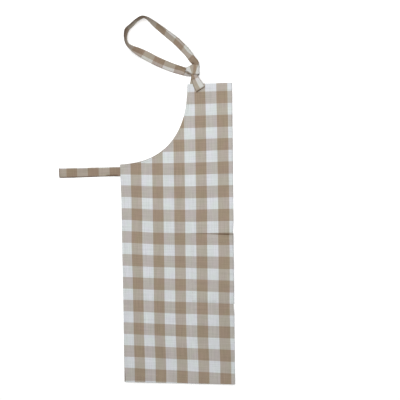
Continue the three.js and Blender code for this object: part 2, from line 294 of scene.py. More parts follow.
# How soft a stripe's edge is, and how far apart the weave's crossings and the thread's twists
# are drawn, in millimetres
STRIPE_EDGE = 0.7
WEAVE_PITCH, TWIST_PITCH = 1.2, 0.5


def linear(hex_colour):
    """A colour given as sRGB hex, in linear light."""
    channels = [int(hex_colour[k:k + 2], 16) / 255 for k in (1, 3, 5)]
    light = [c / 12.92 if c <= 0.04045 else ((c + 0.055) / 1.055) ** 2.4 for c in channels]
    return (*light, 1.0)


def new_material(name, **settings):
    """A material with a Principled shader, whose plain settings are set on its own sockets."""
    material = bpy.data.materials.new(name)
    material.use_nodes = True
    shader = material.node_tree.nodes["Principled BSDF"]
    for socket, value in settings.items():
        shader.inputs[socket.replace("_", " ")].default_value = value
    return material, shader


def add_node(tree, kind, inputs=None, **settings):
    """A node with its settings, its input values, and its links: an input given as a socket is
    linked, and any other is set."""
    node = tree.nodes.new(kind)
    for name, value in settings.items():
        setattr(node, name, value)
    for key, value in (inputs or {}).items():
        if isinstance(value, bpy.types.NodeSocket):
            tree.links.new(value, node.inputs[key])
        else:
            node.inputs[key].default_value = value
    return node


def math_node(tree, operation, *values):
    """The result of a math node. Each value is a number or a socket."""
    inputs = dict(enumerate(values))
    return add_node(tree, "ShaderNodeMath", inputs, operation=operation).outputs[0]


def mix(tree, share, first, second, blend="MIX"):
    """Two colours, mixed by a share or blended as named."""
    inputs = {0: share, 6: first, 7: second}
    node = add_node(tree, "ShaderNodeMix", inputs, data_type="RGBA", blend_type=blend)
    return node.outputs[2]


def bands(tree, place, direction, apart):
    """Even waves this many millimetres apart. A wave texture of scale 1 has 20 of them in 2 pi
    metres."""
    inputs = {"Vector": place, "Scale": 2 * math.pi / 20 / (apart * MM)}
    node = add_node(tree, "ShaderNodeTexWave", inputs, bands_direction=direction)
    return node.outputs["Fac"]


def add_relief(tree, shader, height, strength, depth):
    """A bump as strong and as deep, in millimetres, as given."""
    inputs = {"Height": height, "Strength": strength, "Distance": depth * MM}
    bump = add_node(tree, "ShaderNodeBump", inputs).outputs[0]
    tree.links.new(bump, shader.inputs["Normal"])


def stripe(tree, place, period, tan):
    """1 on the tan stripe, which starts at 0 and comes again each period, and 0 between."""
    centred = math_node(tree, "SUBTRACT", place, (tan - period) / 2 * MM)
    turns = math_node(tree, "DIVIDE", centred, period * MM)
    share = math_node(tree, "SUBTRACT", math_node(tree, "FRACT", turns), 0.5)
    from_middle = math_node(tree, "MULTIPLY", math_node(tree, "ABSOLUTE", share), period)
    inside = math_node(tree, "SUBTRACT", tan / 2, from_middle)
    edge = math_node(tree, "ADD", math_node(tree, "DIVIDE", inside, STRIPE_EDGE), 0.5)
    return add_node(tree, "ShaderNodeClamp", {"Value": edge}).outputs[0]


def gingham(name, periods, tans, tones):
    """Cotton gingham, yarn-dyed and plain-woven: matt, a little fuzzy, with uneven yarns that
    show as fine lines both ways. tones are the colours where white crosses white, a tan warp
    crosses white weft, tan weft crosses white warp, and tan crosses tan."""
    material, shader = new_material(
        name, Roughness=0.92, Specular_IOR_Level=0.18, Sheen_Weight=0.05, Sheen_Roughness=0.6
    )
    tree = material.node_tree
    cloth = add_node(tree, "ShaderNodeAttribute", attribute_name="cloth").outputs["Vector"]
    axes = add_node(tree, "ShaderNodeSeparateXYZ", {0: cloth}).outputs
    warp, weft = [stripe(tree, axes[k], periods[k], tans[k]) for k in (0, 1)]

    def noise(stretched, roughness):
        """Noise that changes this many times a metre across, along and through the cloth."""
        scaled = add_node(tree, "ShaderNodeMapping", {0: cloth, "Scale": stretched}).outputs[0]
        inputs = {"Vector": scaled, "Scale": 1.0, "Detail": 2.0, "Roughness": roughness}
        return add_node(tree, "ShaderNodeTexNoise", inputs).outputs["Fac"]

    def mapped(value, low, high, new_low, new_high):
        inputs = {"Value": value, 1: low, 2: high, 3: new_low, 4: new_high}
        return add_node(tree, "ShaderNodeMapRange", inputs).outputs[0]

    white, warp_tan, weft_tan, both = [linear(tone) for tone in tones]
    white_weft = mix(tree, warp, white, warp_tan)
    checks = mix(tree, weft, white_weft, mix(tree, warp, weft_tan, both))

    # Real yarns are 0.4 mm apart, too fine to show here, so thick and thin yarns are drawn as
    # lines about 2.4 mm apart, stretched along the warp and along the weft
    yarns = math_node(tree, "ADD", noise((420, 14, 1), 0.6), noise((12, 420, 1), 0.6))
    uneven = mapped(yarns, 0.7, 1.3, 0.88, 1.12)
    # The dye and the washing leave slow changes of tone, and the tan leans to pink or to olive
    faded = mapped(noise((9, 7, 1), 0.5), 0.3, 0.7, 0.975, 1.025)
    tone = math_node(tree, "MULTIPLY", uneven, faded)
    grey = add_node(tree, "ShaderNodeCombineColor", {k: tone for k in range(3)}).outputs[0]
    leaning = mapped(noise((34, 26, 1), 0.5), 0.38, 0.62, 0.0, 1.0)
    dye = mix(tree, leaning, linear(PINK_LEAN), linear(OLIVE_LEAN))
    dyed = mix(tree, 1.0, checks, dye, "MULTIPLY")
    woven = mix(tree, 1.0, dyed, grey, "MULTIPLY")
    # Painted shade: where the shade attribute is set, the cloth is darkened and browned, standing
    # in for the shade it throws on itself in creases, along edges and where it is doubled
    shade = add_node(tree, "ShaderNodeAttribute", attribute_name="shade").outputs["Fac"]
    shaded = mix(tree, 1.0, woven, linear(PAINTED_SHADE_TONE), "MULTIPLY")
    tree.links.new(mix(tree, shade, woven, shaded), shader.inputs["Base Color"])

    # The weave's crossings are drawn wider apart than the real ones, which are too fine
    weave = [bands(tree, cloth, direction, WEAVE_PITCH) for direction in ("X", "Y")]
    relief = math_node(tree, "ADD", math_node(tree, "ADD", *weave), yarns)
    add_relief(tree, shader, relief, 0.25, 0.3)
    return material


def sewing_thread():
    """Spun polyester sewing thread, three plies twisted together: matt, with a fine slanting
    twist, and lint that makes its tone uneven."""
    material, shader = new_material("spun_polyester_thread", Roughness=0.7, Sheen_Weight=0.1)
    tree = material.node_tree
    place = add_node(tree, "ShaderNodeTexCoord").outputs["Object"]
    lint = add_node(tree, "ShaderNodeTexNoise", {"Vector": place, "Scale": 350.0}).outputs["Fac"]
    tone = mix(tree, lint, *[linear(tone) for tone in THREAD_TONES])
    tree.links.new(tone, shader.inputs["Base Color"])
    add_relief(tree, shader, bands(tree, place, "DIAGONAL", TWIST_PITCH), 0.4, 0.1)
    return material


body_cotton = gingham(
    "yarn_dyed_gingham_cotton", (WARP_PERIOD, WEFT_PERIOD), (WARP_TAN, WEFT_TAN), BODY_TONES
)
strap_cotton = gingham(
    "folded_gingham_cotton_strap",
    (WARP_PERIOD, 2 * STRAP_CHECK),
    (WARP_TAN, STRAP_CHECK),
    STRAP_TONES,
)
thread = sewing_thread()


# Sewing

# Stitches: from one to the next, how long and thick each is, how far the thread stands out of the
# cloth, and half a stitch's length, from the shortest to the longest, as shares of the full one
STITCH_PITCH = 3.2
STITCH_LENGTH = 2.5
THREAD_WIDTH = 0.45
THREAD_LIFT = 0.14
SHORT_HALF, LONG_HALF = 0.45, 0.55
STITCH_SEED = 7


def stitching_tree():
    """A tree that sews along the edges of a mesh: at each pitch one stitch, lying along the
    seam, a little longer or shorter than the next."""
    tree = bpy.data.node_groups.new("stitching", "GeometryNodeTree")
    tree.interface.new_socket("Geometry", in_out="INPUT", socket_type="NodeSocketGeometry")
    for name in ("Pitch", "Length", "Width"):
        tree.interface.new_socket(name, in_out="INPUT", socket_type="NodeSocketFloat")
    tree.interface.new_socket("Thread", in_out="INPUT", socket_type="NodeSocketMaterial")
    tree.interface.new_socket("Geometry", in_out="OUTPUT", socket_type="NodeSocketGeometry")

    def made(kind, inputs=None, output=0, **settings):
        return add_node(tree, kind, inputs, **settings).outputs[output]

    given = add_node(tree, "NodeGroupInput").outputs
    seams = made("GeometryNodeMeshToCurve", {"Mesh": given["Geometry"]})
    points = made(
        "GeometryNodeResampleCurve", {"Curve": seams, "Length": given["Pitch"]}, mode="LENGTH"
    )
    inputs = {"Segments": 6, "Rings": 4, "Radius": 1.0}
    stitch = made("GeometryNodeMeshUVSphere", inputs)
    along = made("GeometryNodeInputTangent")
    turned = made("FunctionNodeAlignRotationToVector", {"Vector": along}, axis="Z")
    inputs = {2: SHORT_HALF, 3: LONG_HALF, "Seed": STITCH_SEED}
    uneven = made("FunctionNodeRandomValue", inputs, 1, data_type="FLOAT")
    half_long = math_node(tree, "MULTIPLY", given["Length"], uneven)
    half_wide = math_node(tree, "MULTIPLY", given["Width"], 0.5)
    size = made("ShaderNodeCombineXYZ", {0: half_wide, 1: half_wide, 2: half_long})
    inputs = {"Points": points, "Instance": stitch, "Rotation": turned, "Scale": size}
    sewn = made("GeometryNodeRealizeInstances", {0: made("GeometryNodeInstanceOnPoints", inputs)})
    sewn = made("GeometryNodeSetShadeSmooth", {"Geometry": sewn, "Shade Smooth": True})
    sewn = made("GeometryNodeSetMaterial", {"Geometry": sewn, "Material": given["Thread"]})
    add_node(tree, "NodeGroupOutput", {0: sewn})
    return tree


stitching = stitching_tree()


def sewn_lines(name, lines):
    """Stitches along lines of points, as one piece. Each line comes with the way out of the
    cloth."""
    points, edges = [], []
    for line, out in lines:
        line = line + THREAD_LIFT * np.asarray(out, float)
        line[:, 2] = np.maximum(line[:, 2], THREAD_WIDTH / 2)
        first = len(points)
        points += to_frame(line).tolist()
        edges += [(k, k + 1) for k in range(first, first + len(line) - 1)]
    mesh = bpy.data.meshes.new(name)
    mesh.from_pydata(points, edges, [])
    piece = placed(name, mesh)
    sewing = piece.modifiers.new("sewing", "NODES")
    sewing.node_group = stitching
    values = {
        "Pitch": STITCH_PITCH * MM,
        "Length": STITCH_LENGTH * MM,
        "Width": THREAD_WIDTH * MM,
        "Thread": thread,
    }
    for item in stitching.interface.items_tree:
        if item.in_out == "INPUT" and item.name in values:
            sewing[item.identifier] = values[item.name]
    evaluated = piece.evaluated_get(bpy.context.evaluated_depsgraph_get())
    sewn = bpy.data.meshes.new_from_object(evaluated)
    piece.modifiers.clear()
    piece.data = sewn
    return piece


# Body

# Columns from the outer edge to the fold: shares of the hem's width, and then shares of the way
# from the hem to the fold. Rows near a hem across them: distances from its edge.
HEM_SHARES = [0, 0.05, 0.12, 0.25, 0.45, 0.62, 0.7, 0.76, 0.82, 0.88, 0.94, 1]
HEM_COLUMNS = [0.006, 0.014, 0.024]
FIELD_START = 0.036
FIELD_COLUMNS = 58
HEM_ROWS = [0, 0.8, 2, 6, 11, 16, 18.5, 19.3, 20, 20.7, 21.4, 22.4, 23.8]
FIELD_ROW = 27
SIDE_ROWS = 118
ARMHOLE_ROWS = 76
NO_HEM = 999.0
FOLD_POINTS = 9
FACE_COLUMNS = len(HEM_SHARES) + len(HEM_COLUMNS) + FIELD_COLUMNS
ROUND_COLUMNS = 2 * FACE_COLUMNS + FOLD_POINTS - 1


def armhole_curve(shares):
    """Points along the armhole, at shares of the way from the waist corner to the bib, for each
    the way inward, and the armhole's length."""
    width = WAIST_X + BIB_HALF_WIDTH
    handles = np.array([
        (WAIST_X, WAIST_Y),
        (WAIST_X - ARMHOLE_ACROSS * width, WAIST_Y + ARMHOLE_UP * ARMHOLE_DEPTH),
        (-BIB_HALF_WIDTH + ARMHOLE_INWARD * width, BODY_LENGTH - ARMHOLE_DOWN * ARMHOLE_DEPTH),
        (-BIB_HALF_WIDTH, BODY_LENGTH),
    ])
    t = np.linspace(0, 1, 801)[:, None]
    weights = np.hstack([(1 - t) ** 3, 3 * t * (1 - t) ** 2, 3 * t * t * (1 - t), t ** 3])
    fine = weights @ handles
    lengths = np.concatenate([[0], np.cumsum(np.hypot(*np.diff(fine, axis=0).T))])
    places = np.asarray(shares, float) * lengths[-1]
    points, ahead, behind = [
        np.stack([np.interp(places + step, lengths, fine[:, k]) for k in (0, 1)], axis=1)
        for step in (0, 1, -1)
    ]
    along = ahead - behind
    along /= np.hypot(*along.T)[:, None]
    return points, np.stack([along[:, 1], -along[:, 0]], axis=1), lengths[-1]


def body_rows():
    """The cloth's rows from the hem up: outer point, the hem's inner point, the place on the
    fold, and the distances from the bottom hem and from the bib's top."""
    up_side = np.concatenate([HEM_ROWS, np.linspace(FIELD_ROW, WAIST_Y, SIDE_ROWS)])
    share = up_side / WAIST_Y
    side_y = -HEM_DROP + share * (WAIST_Y + HEM_DROP)
    flare = WAIST_FLARE * smooth(side_y, WAIST_Y - 3 * TIE_WIDTH, WAIST_Y)
    side_x = -(SKIRT_HALF_WIDTH + flare)
    corner_y = WAIST_Y - ARMHOLE_HEM
    inner_y = -HEM_DROP + share * (corner_y + HEM_DROP)
    side = np.stack([side_x, side_y, side_x + SIDE_HEM, inner_y, up_side, up_side], axis=1)

    armhole_length = armhole_curve([0])[2]
    below_hem = np.linspace(armhole_length, 1.25 * BIB_HEM, ARMHOLE_ROWS)[1:]
    from_bib = np.concatenate([below_hem, HEM_ROWS[::-1]])
    shares = 1 - from_bib / armhole_length
    points, inward, _ = armhole_curve(shares)
    inner = points + inward * ARMHOLE_HEM
    inner[:, 0] += SIDE_HEM * (1 - smooth(shares, 0, 0.06))
    # The rows in the bib's hem lie along its edge
    known = [0, 2 * BIB_HEM, armhole_length]
    fold_y = np.interp(from_bib, known, [BODY_LENGTH, BODY_LENGTH - 2 * BIB_HEM, WAIST_Y])
    up = np.full(len(shares), NO_HEM)
    armhole = np.stack([*points.T, *inner.T, fold_y, up], axis=1)
    return np.concatenate([side, armhole])


def half_sheet(rows, peek, hem_width):
    """Places of one half's grid, from the outer edge to the fold, and their distance from the
    side edge. peek is how far this half stands out beyond the pattern."""
    outer, inner = rows[:, 0:2], rows[:, 2:4]
    away = outer - inner
    outer = outer + away / np.hypot(*away.T)[:, None] * peek[:, None]
    fold = np.stack([np.full(len(rows), -FOLD_REACH), rows[:, 4]], axis=1)
    field = np.concatenate([HEM_COLUMNS, np.linspace(FIELD_START, 1, FIELD_COLUMNS)])
    in_hem = [outer + (inner - outer) * share for share in HEM_SHARES]
    in_field = [inner + (fold - inner) * share for share in field]
    reach = np.hypot(*(fold - inner).T)
    distance = [np.full(len(rows), share) * hem_width for share in HEM_SHARES]
    distance += [hem_width + reach * share for share in field]
    return np.stack(in_hem + in_field, axis=1), np.stack(distance, axis=1)


def folded_sheet(rows, heights, peeks, hem_width, fold_out, pattern):
    """A closed skin for a cloth folded at x = 0, ring by ring, and its cloth coordinates."""
    upper, lower = [half_sheet(rows, peek, hem_width) for peek in peeks]

    def face(name, half):
        grid, distance = half
        z = heights(name, grid[..., 0], grid[..., 1], distance, rows[:, 5:6])
        return np.dstack([grid, z])

    top, under_top = face("top", upper), face("under_top", upper)
    over_low, low = face("over_low", lower), face("low", lower)

    def bend(high, deep, reach):
        angles = math.pi / 2 - math.pi * np.arange(1, FOLD_POINTS) / FOLD_POINTS
        middle = (high[:, -1:, 2] + deep[:, -1:, 2]) / 2
        radius = (high[:, -1:, 2] - deep[:, -1:, 2]) / 2
        x = -FOLD_REACH + reach[:, None] * np.cos(angles)
        y = np.repeat(rows[:, 4:5], FOLD_POINTS - 1, axis=1)
        points = np.dstack([x, y, middle + radius * np.sin(angles)])
        return points, radius * (math.pi / 2 - angles)

    outer = FOLD_REACH + fold_out
    round_out, round_length = bend(top, low, outer)
    round_in, _ = bend(under_top, over_low, outer - CLOTH)
    rings = np.concatenate([
        top, round_out, low[:, ::-1], over_low, round_in[:, ::-1], under_top[:, ::-1],
    ], axis=1)

    def cloth_places(sheet, mirrored):
        x = sheet[..., 0]
        u = -2 * FOLD_REACH - x + round_length[:, -1:] if mirrored else x
        return np.dstack([u, sheet[..., 1], np.zeros_like(x)])

    across_fold = -FOLD_REACH + round_length
    folded = np.dstack([across_fold, round_out[..., 1], np.zeros_like(across_fold)])
    above, below = cloth_places(upper[0], False), cloth_places(lower[0], True)
    outside = np.concatenate([above, folded, below[:, ::-1]], axis=1)
    return rings, pattern(np.concatenate([outside, outside[:, ::-1]], axis=1))


# How far sewing and folding have pulled the weave out of square: at each height, as a share of
# the body's length, how far it has moved to the right and how far down, in millimetres, at the
# side, halfway to the fold and at the fold. The first row is the hem's dip at its outer corner.
GRAIN = [
    (-0.014, 1.2, 0.9, 0.6, 8.5, 0.5, 9.8),
    (0, 1.2, 0.9, 0.6, 0.3, 2.4, 2.4),
    (0.06, 1.2, 0.9, 0.6, 0.3, -0.3, 0),
    (0.16, 0, -1.2, -1.5, -0.9, -0.1, -0.9),
    (0.26, 0, -0.9, -2, -1.2, -0.6, 0),
    (0.36, -0.3, -0.3, -0.6, -1.7, -0.3, 1.2),
    (0.46, -2, -0.3, 0, -2.9, 0.9, -0.9),
    (0.56, -0.3, 0, -0.3, -2.9, 1.4, -2),
    (0.66, 0.3, 0, -0.9, -2.6, 1.2, -1.4),
    (0.76, 0, 0, -1.2, 0, 1.5, -1.4),
    (0.86, 0, 0, -1.7, 0, 2.6, 1.2),
    (0.96, 0, 0, -2.6, 0, 2.9, 2.9),
]

# From where to where, as shares of the half width, the pull at the side sets in and the pull at the
# fold dies away
SIDE_PULL = (0.65, 1)
FOLD_PULL = (0, 0.4)


def body_pattern(cloth):
    """Where each point of the body lies in the gingham: across and down from the first tan
    stripe and row."""
    table = np.array(GRAIN)
    height = cloth[..., 1] / BODY_LENGTH
    share = np.abs(cloth[..., 0]) / SKIRT_HALF_WIDTH
    at_side = smooth(share, *SIDE_PULL)
    at_fold = 1 - smooth(share, *FOLD_PULL)

    def pulled(first_column):
        side, middle, fold = [
            np.interp(height, table[:, 0], table[:, first_column + k]) for k in range(3)
        ]
        return middle + (side - middle) * at_side + (fold - middle) * at_fold

    u = cloth[..., 0] + FIRST_STRIPE - pulled(1)
    v = FIRST_ROW - cloth[..., 1] - pulled(4)
    return np.dstack([u, v, np.zeros_like(u)])


# Over what width the turned hem's layers end on the cloth's inner face
UNDER_HEM_END = 1.5


def body_heights(face, x, y, side, up):
    """The heights of the body's four faces, above and below each half."""
    from_top = BODY_LENGTH - y
    hem_side = turned_hem(side, SIDE_HEM)
    hem_low = turned_hem(np.broadcast_to(up, side.shape), BOTTOM_HEM)
    hem_bib = turned_hem(from_top, BIB_HEM)
    hems = np.maximum(np.maximum(hem_side, hem_low), hem_bib)
    thick = CLOTH + HEM_TURN * (1 - smooth(side, SIDE_HEM, SIDE_HEM + UNDER_HEM_END))
    floor = lower_face(x, y)
    if face == "top":
        return upper_face(x, y) + hems
    if face == "under_top":
        return upper_face(x, y) + np.minimum(hems, 0) - thick
    if face == "over_low":
        return floor + thick + CLOTH
    return floor + EDGE_ROLL * (1 - smooth(side, 0, ROLL_WIDTH)) + CLOTH / 2


# Painted shade along the body's edges, where the hems, the lower half's edge and the fold lie in
# shade: how dark it is, and from where to where each fades or sets in. Along the armhole, and more
# at its lower end: across the hem as shares of its width, and up from the waist.
ARMHOLE_SHADE, LOW_ARMHOLE_SHADE = 0.35, 0.4
ARMHOLE_EDGE = (0, 0.3)
ARMHOLE_START, LOW_ARMHOLE_END = (-2, 4), (25, 75)
# Along the lower part of the side, and more at its corner: across the hem, and up from the hem
SIDE_SHADE, CORNER_SHADE = 0.22, 0.4
SIDE_EDGE = (0.1, 0.45)
SIDE_END, CORNER_END = (90, 130), (0, 30)
# Along the fold: across it, and up the body as shares of its length
FOLD_SHADE = 0.4
FOLD_EDGE = (-2.5, 1)
FOLD_START = (0.55, 0.9)

# From where to where the lower half's showing at the corner dies away, over what height it sets in
# above the waist, and how far past the pocket the fold is tucked in and how softly that ends
CORNER_PEEK_END = (40, 130)
ARMHOLE_PEEK_RISE = 2
TUCK_RISE = (4, 30)


def body_shade(rows, rings):
    """The painted shade along the armhole, the lower part of the side and the upper part of the
    fold.
    """
    face = HEM_SHARES + [1] * (FACE_COLUMNS - len(HEM_SHARES))
    fold_round = [1] * (FOLD_POINTS - 1)
    in_hem = 2 * (face + fold_round + face[::-1])
    up, above_waist = rows[:, 1], rows[:, 1] - WAIST_Y
    low_armhole = LOW_ARMHOLE_SHADE * (1 - smooth(above_waist, *LOW_ARMHOLE_END))
    armhole = smooth(above_waist, *ARMHOLE_START) * (ARMHOLE_SHADE + low_armhole)
    side = SIDE_SHADE * (1 - smooth(up, *SIDE_END)) + CORNER_SHADE * (1 - smooth(up, *CORNER_END))
    edge = np.maximum(
        armhole[:, None] * (1 - smooth(in_hem, *ARMHOLE_EDGE)),
        side[:, None] * (1 - smooth(in_hem, *SIDE_EDGE)),
    )
    along_fold = smooth(rings[..., 1] / BODY_LENGTH, *FOLD_START)
    return np.clip(edge + FOLD_SHADE * smooth(rings[..., 0], *FOLD_EDGE) * along_fold, 0, 1)


body_grid = body_rows()
at_corner = 1 - smooth(body_grid[:, 1], *CORNER_PEEK_END)
in_armhole = smooth(body_grid[:, 1], WAIST_Y, WAIST_Y + ARMHOLE_PEEK_RISE)
peek_out = PEEK + CORNER_PEEK * at_corner + ARMHOLE_PEEK * in_armhole
tucked = -FOLD_TUCK * plateau(0, body_grid[:, 4], POCKET_AREA, *TUCK_RISE)
body_rings, body_places = folded_sheet(
    body_grid, body_heights, (np.zeros(len(body_grid)), peek_out), SIDE_HEM, tucked, body_pattern
)
apron_cloth = new_piece(
    "apron_cloth", body_rings, body_places, body_shade(body_grid, body_rings), body_cotton
)


# Pocket

# Rows near the pocket's bottom and near its mouth: distances up from the one and down from the
# other. Between them lie evenly spaced rows.
BOTTOM_ROWS = [0, 1, 3, 7]
MOUTH_ROWS = [30, 26, 25, 24, 23, 22, 20, 14, 8, 5.5, 4.6, 3.8, 3, 2.2, 1.4, 0.6, 0]
LOWEST_FIELD_ROW, HIGHEST_FIELD_ROW = 12, 34
POCKET_FIELD_ROWS = 30

# The mouth's open part: how far down, in hems, and how far from the fold, as a share of the half
# width, the cloth stands off, and how thick it is there
GAPE_DOWN, GAPE_ACROSS = 3, 0.8
POCKET_WALL = 0.3

# The painted shadow under the mouth's rolled edge: how dark it is, which share of that is left at
# the sewn side, how much lighter it is beside the fold and from where to where, how wide it is at
# the side and how much wider at the fold, and how softly it ends
MOUTH_SHADE = 0.8
SIDE_SHARE = 0.35
FOLD_LIGHTER = 0.45
NEAR_FOLD = (-15, -5)
MOUTH_WIDTH, MOUTH_WIDER = 2, 2.2
MOUTH_FADE_IN, MOUTH_FADE_OUT = 1.5, 1


def pocket_rows():
    """The pocket's rows from its bottom to its mouth, as body_rows gives them."""
    lowest, highest = POCKET_BOTTOM + LOWEST_FIELD_ROW, POCKET_TOP - HIGHEST_FIELD_ROW
    y = np.concatenate([
        POCKET_BOTTOM + np.array(BOTTOM_ROWS),
        np.linspace(lowest, highest, POCKET_FIELD_ROWS),
        POCKET_TOP - np.array(MOUTH_ROWS),
    ])
    edge = np.full(len(y), -POCKET_HALF_WIDTH)
    return np.stack([edge, y, edge + SIDE_HEM, y, y, y - POCKET_BOTTOM], axis=1)


def pocket_heights(face, x, y, side, up):
    """The heights of the pocket's four faces, on the body's upper half and under its lower."""
    near_mouth = smooth(y, POCKET_TOP - GAPE_DOWN * POCKET_HEM, POCKET_TOP)
    near_fold = 1 - smooth(-x, 0, POCKET_HALF_WIDTH * GAPE_ACROSS)
    gape = MOUTH_GAPE * near_mouth * near_fold
    # The sewn side and bottom edges are pressed down into the body's cloth
    pressed = smooth(np.minimum(side, up), *PRESSED_BAND)
    mouth_hem = turned_hem(POCKET_TOP - y, POCKET_HEM) * pressed
    on_body = upper_face(x, y) + PRESSED_EDGE + (CLEARANCE + FLOOR_CLOTH) * pressed + gape
    if face == "top":
        return on_body + mouth_hem
    if face == "under_top":
        return on_body + np.minimum(mouth_hem, 0) - PRESSED_EDGE - POCKET_WALL * pressed
    if face == "over_low":
        return np.full_like(x, CLOTH + POCKET_FLOOR)
    return np.zeros_like(x)


def mouth_shade(rings):
    """The shadow that the mouth's rolled edge throws under itself, painted on, darkest towards the
    fold.
    """
    from_mouth = POCKET_TOP - rings[..., 1]
    to_fold = smooth(rings[..., 0], -POCKET_HALF_WIDTH, 0)
    beside_fold = FOLD_LIGHTER * smooth(rings[..., 0], *NEAR_FOLD)
    width = MOUTH_WIDTH + MOUTH_WIDER * to_fold
    in_mouth = 1 - smooth(from_mouth, width - MOUTH_FADE_IN, width + MOUTH_FADE_OUT)
    along = SIDE_SHARE + (1 - SIDE_SHARE) * to_fold
    return MOUTH_SHADE * along * (1 - beside_fold) * in_mouth


pocket_grid = pocket_rows()
no_peek = np.zeros(len(pocket_grid))
pocket_out = np.full(len(pocket_grid), FLOOR_CLOTH + POCKET_SLACK - FOLD_TUCK)
pocket_rings, pocket_places = folded_sheet(
    pocket_grid, pocket_heights, (no_peek, no_peek), SIDE_HEM, pocket_out, body_pattern
)
pocket_cloth = new_piece(
    "pocket_cloth", pocket_rings, pocket_places, mouth_shade(pocket_rings), body_cotton
)


# Seams of the body and the pocket: the column of their grids in which the side's stitches run,
# how many rows at each end of it stay free, and the height of the pocket's bottom seam
HEM_SEAM = HEM_SHARES.index(0.82)
POCKET_SEAM = HEM_SHARES.index(0.25)
FREE_ROWS = 2
POCKET_BOTTOM_SEAM = POCKET_BOTTOM + 3
UP, DOWN = (0, 0, 1), (0, 0, -1)


def seams_round(rings, column, heights):
    """The seams that run up both halves in this column, and across both at these heights."""
    sides = rings[FREE_ROWS:-FREE_ROWS]
    lines = [(sides[:, column], UP), (sides[:, ROUND_COLUMNS - 1 - column], DOWN)]
    for height in heights:
        row = rings[int(np.argmin(np.abs(rings[:, FACE_COLUMNS, 1] - height)))]
        lines.append((row[column:FACE_COLUMNS], UP))
        lines.append((row[FACE_COLUMNS - 1:ROUND_COLUMNS - column], DOWN))
    return lines


apron_stitches = sewn_lines("apron_stitches", seams_round(
    body_rings, HEM_SEAM, [BOTTOM_HEM - SEAM_INSIDE, BODY_LENGTH - BIB_HEM + SEAM_INSIDE]
))
pocket_stitches = sewn_lines("pocket_stitches", seams_round(
    pocket_rings, POCKET_SEAM, [POCKET_BOTTOM_SEAM, POCKET_TOP - POCKET_HEM + SEAM_INSIDE]
))


# Straps

# From the rear bib corner up behind the knot: up as a share of the knot's rise, layer in the
# knot, and width and thickness as shares of the strap's own
REAR_RISE = [
    (0, 0, 1, 1),
    (0.33, 0.3, 0.9, 1.1),
    (0.64, 0.85, 0.78, 1.15),
    (1, 1, 0.72, 1.2),
    (1.36, 1.1, 0.74, 1.2),
]

# From the front bib corner up into the knot, over the rear strap
FRONT_RISE = [
    (0, 1, 1, 1),
    (0.31, 1.25, 0.9, 1.05),
    (0.62, 1.9, 0.76, 1.1),
    (0.92, 2, 0.7, 1.1),
    (1.22, 2, 0.64, 1.05),
]

# The share of the knot's rise at which both lie in their layers of the knot
IN_KNOT = 0.64

# Round the loop, from the knot's top to its left side: x and y as shares of the loop's reach and
# rise, the way across the strap and its lean in degrees, width as a share, and how far the cloth
# is rolled across the strap
LOOP = [
    (0.006, 0.143, 10, 16, 0.84, -8),
    (-0.04, 0.218, 36, 28, 0.94, -7),
    (-0.1, 0.331, 44, 30, 1, 2),
    (-0.185, 0.449, 46, 30, 1, 0),
    (-0.272, 0.562, 48, 32, 1, 0),
    (-0.376, 0.672, 49, 38, 1, -2),
    (-0.482, 0.784, 49, 45, 1, -6),
    (-0.586, 0.894, 54, 54, 1, -8),
    (-0.664, 0.978, 68, 70, 1, -9),
    (-0.74, 1.02, 93, 85, 1, -10),
    (-0.827, 0.972, 120, 88, 1, -10),
    (-0.914, 0.88, 133, 84, 1, -10),
    (-0.979, 0.806, 148, 81, 1, -10),
    (-1.002, 0.715, 174, 86, 1, -10),
    (-1, 0.622, 190, 88, 1, -10),
    (-0.972, 0.535, 214, 78, 1, -8),
    (-0.9, 0.456, 232, 52, 1, -4),
    (-0.805, 0.384, 239, 28, 1, 0),
    (-0.7, 0.309, 241, 12, 1, 1),
    (-0.58, 0.221, 242, 6, 1, 2),
    (-0.45, 0.14, 244, 3, 1, 2),
    (-0.32, 0.069, 248, 0, 0.98, 3),
    (-0.2, 0.016, 253, 0, 0.94, 4),
]

# Behind the knot, round its right side, over the front to the left, back under, and down as the
# tail: x and y as shares of the strap's width from the knot, layer, width, the way across, the
# roll of the cloth and the length gathered away
WRAP = [
    (-0.87, -0.12, 0.25, 0.9, 260, 0, 4),
    (-0.36, -0.12, 0, 0.9, 268, 0, 14),
    (0.09, -0.08, 0, 0.92, 270, 0, 26),
    (0.34, -0.02, 0.35, 0.94, 270, 0, 36),
    (0.44, 0.02, 1.4, 0.98, 270, 0, 42),
    (0.46, 0.07, 2.6, 1.02, 270, 0, 42),
    (0.38, 0.1, 3.75, 1.1, 270, 2, 43),
    (0.14, 0.12, 4.05, 1.14, 270, 18, 50),
    (-0.14, 0.14, 4.02, 1.1, 270, 27, 72),
    (-0.42, 0.16, 4.05, 0.92, 268, 13, 72),
    (-0.66, 0.18, 4, 0.62, 266, -4, 72),
    (-0.84, 0.18, 3.85, 0.48, 264, -2, 72),
    (-0.89, 0.14, 3.4, 0.48, 256, 0, 72),
    (-0.7, 0.06, 3, 0.5, 248, -10, 73),
    (-0.42, -0.08, 3, 0.56, 236, -20, 74),
    (-0.14, -0.36, 3, 0.64, 210, -26, 78),
    (-0.02, -0.68, 3, 0.74, 194, -26, 80),
    (0.11, -1.02, 2.95, 0.9, 196, -26, 81),
    (0.3, -1.43, 3.35, 1.06, 202, -26, 81),
    (0.51, -1.82, 3.6, 1.12, 206, -26, 81),
    (0.67, -2.08, 3.7, 1.12, 208, -26, 81),
]

# A tie, out from its seam: how far from the skirt's side, and how high it lies, as a share of the
# way from the table up to the seam
TIE_FALL = [
    (-SEAM_OVERLAP, 1),
    (0, 1),
    (WAIST_FLARE + CLEARANCE, 0.97),
    (18, 0.45),
    (36, 0),
    (0.5 * TIE_LENGTH, 0),
    (0.8 * TIE_LENGTH, 0),
    (TIE_LENGTH, 0),
]

# Columns of a strap's rows: its middle, the way across it and its lean in degrees, its width and
# thickness, how far the cloth is rolled across it, how much of its length is gathered away so
# far, and how deep its folds are where it is bunched
X, Y, Z, ACROSS, LEAN, WIDTH, THICK, ROLL, GATHERED, BUNCH = range(10)

